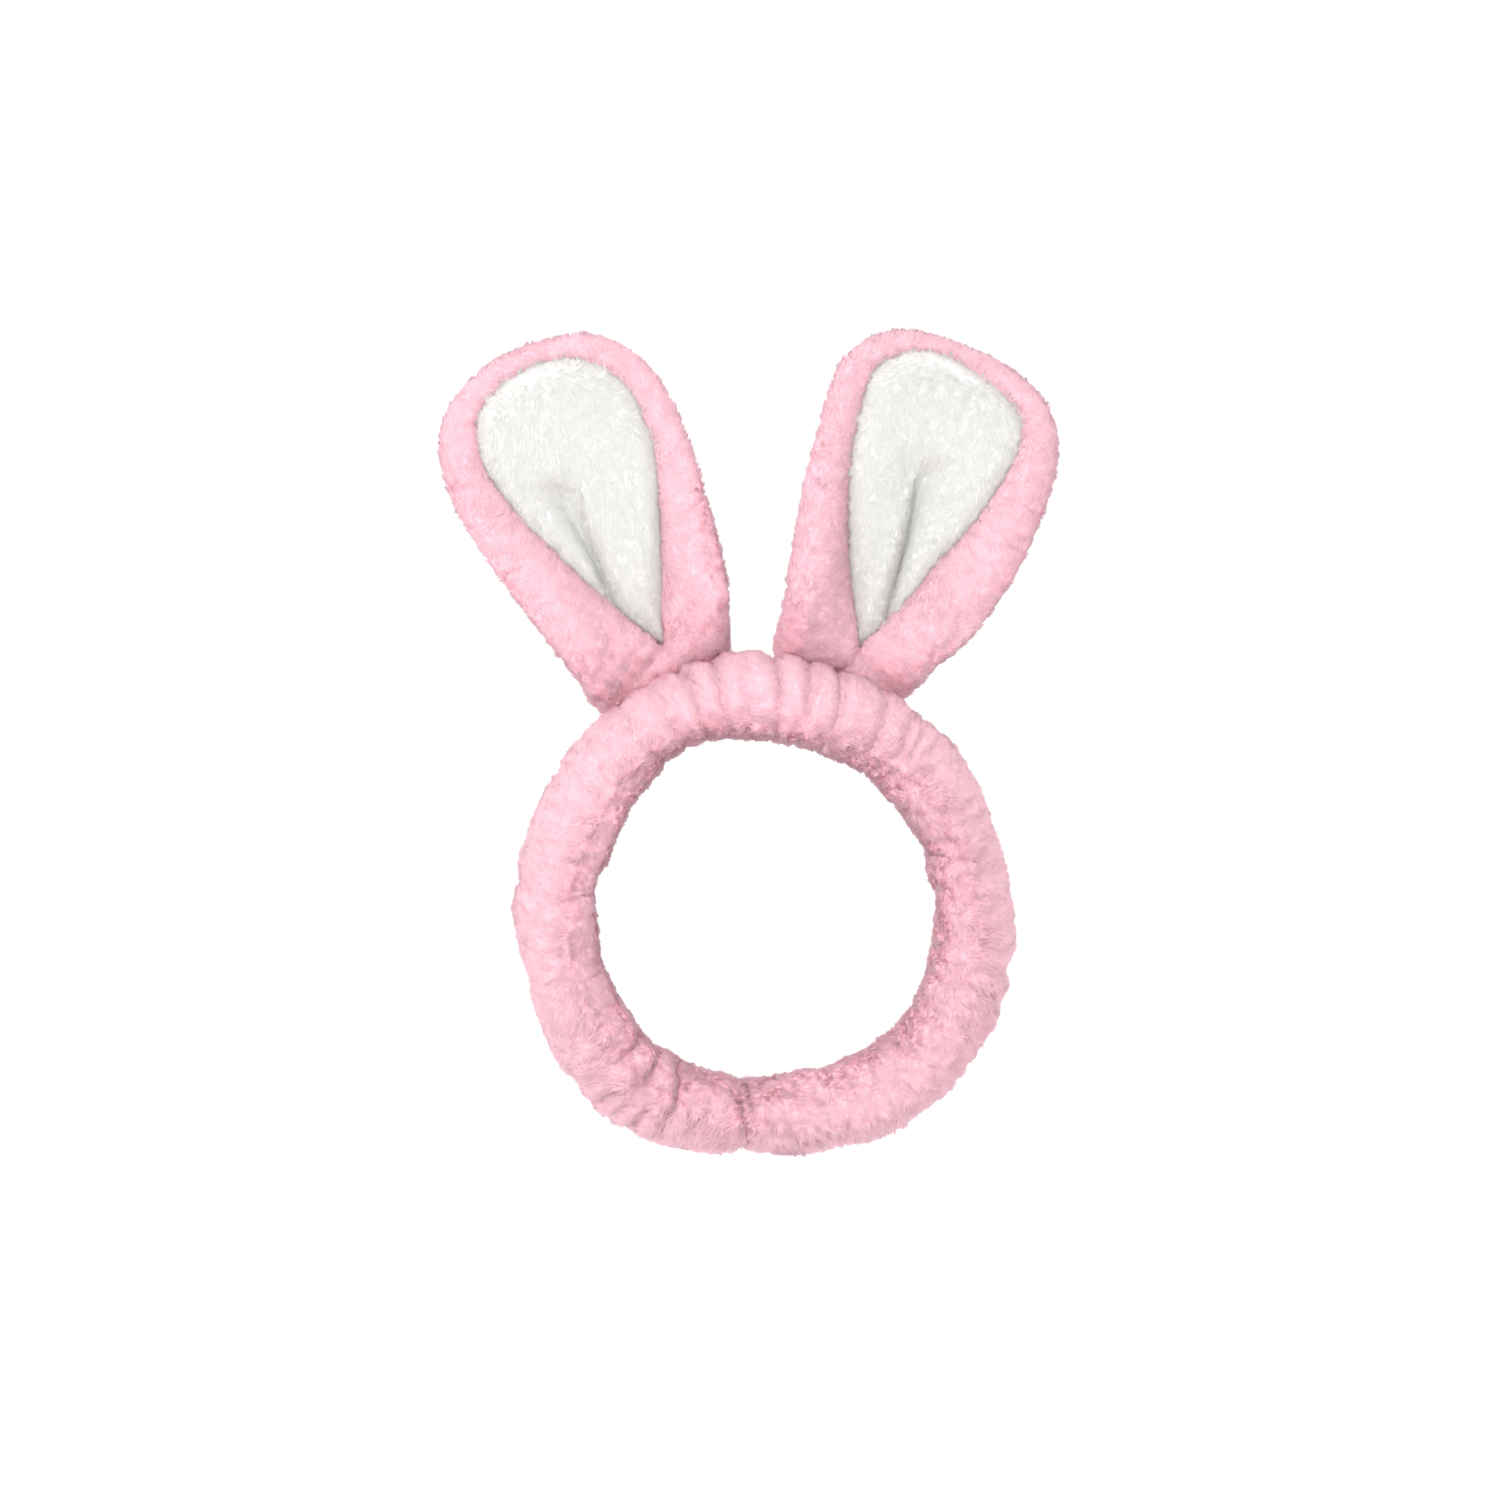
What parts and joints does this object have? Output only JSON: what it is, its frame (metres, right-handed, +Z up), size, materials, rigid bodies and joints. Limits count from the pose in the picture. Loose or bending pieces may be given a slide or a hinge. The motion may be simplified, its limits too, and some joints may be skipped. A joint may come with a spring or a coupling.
{
  "type": "animal ears headband",
  "caption": "Soft closed-ring headband: a gathered plush sleeve over an elastic loop, with padded rabbit ears standing on its crown that fold at the base.",
  "frame": {"origin": "centre of the ring that the head goes through, midway across the band's width", "axes": "+Y along the ring's axis towards the back of the ears, +Z up through the crown towards the ears, +X to the right seen from the front; the fronts of the ears face -Y"},
  "size_m": [0.2136, 0.044, 0.2887],
  "materials": {
    "pink_fleece": "soft long-pile coral fleece",
    "white_fleece": "soft long-pile plush",
    "wadding": "bonded polyester wadding",
    "elastic": "woven elastic tape",
    "pink_thread": "polyester sewing thread",
    "white_thread": "polyester sewing thread"
  },
  "bodies": {
    "upper_band": {"band_cover_upper": "pink_fleece", "long_seam_allowance_upper": "pink_fleece", "long_seam_stitching_upper": "pink_thread", "elastic_upper": "elastic", "elastic_left_run": "elastic", "elastic_right_run": "elastic", "left_ear_anchor_stitching": "pink_thread", "right_ear_anchor_stitching": "pink_thread"},
    "lower_band": {"band_cover_lower": "pink_fleece", "long_seam_allowance_lower": "pink_fleece", "long_seam_stitching_lower": "pink_thread", "elastic_lower": "elastic", "elastic_lapped_end": "elastic", "elastic_box_stitch": "white_thread", "end_seam_allowance": "pink_fleece"},
    "left_ear": {"left_ear_back_panel": "pink_fleece", "left_ear_wadding": "wadding", "left_ear_front_border": "pink_fleece", "left_ear_inner_panel": "white_fleece", "left_ear_inner_seam": "white_thread", "left_ear_rim_seam": "pink_thread", "left_ear_fold_tack": "pink_thread"},
    "right_ear": {"right_ear_back_panel": "pink_fleece", "right_ear_wadding": "wadding", "right_ear_front_border": "pink_fleece", "right_ear_inner_panel": "white_fleece", "right_ear_inner_seam": "white_thread", "right_ear_rim_seam": "pink_thread", "right_ear_fold_tack": "pink_thread"}
  },
  "joints": [
    {"name": "band_stretch", "type": "slide", "parent": "upper_band", "child": "lower_band", "axis": [0, 0, -1], "range_m": [0, 0.09], "stiffness_N_per_m": 60, "springref_m": -0.01, "deforming": ["elastic_left_run", "elastic_right_run"]},
    {"name": "left_ear_fold", "type": "hinge", "parent": "upper_band", "child": "left_ear", "pos_m": [-0.03738, 0.009, 0.08639], "axis": [0.9178, 0, 0.3971], "range_deg": [-70, 65], "stiffness_Nm_per_rad": 0.03},
    {"name": "right_ear_fold", "type": "hinge", "parent": "upper_band", "child": "right_ear", "pos_m": [0.03281, 0.009, 0.08823], "axis": [0.9373, 0, -0.3486], "range_deg": [-70, 65], "stiffness_Nm_per_rad": 0.03}
  ]
}
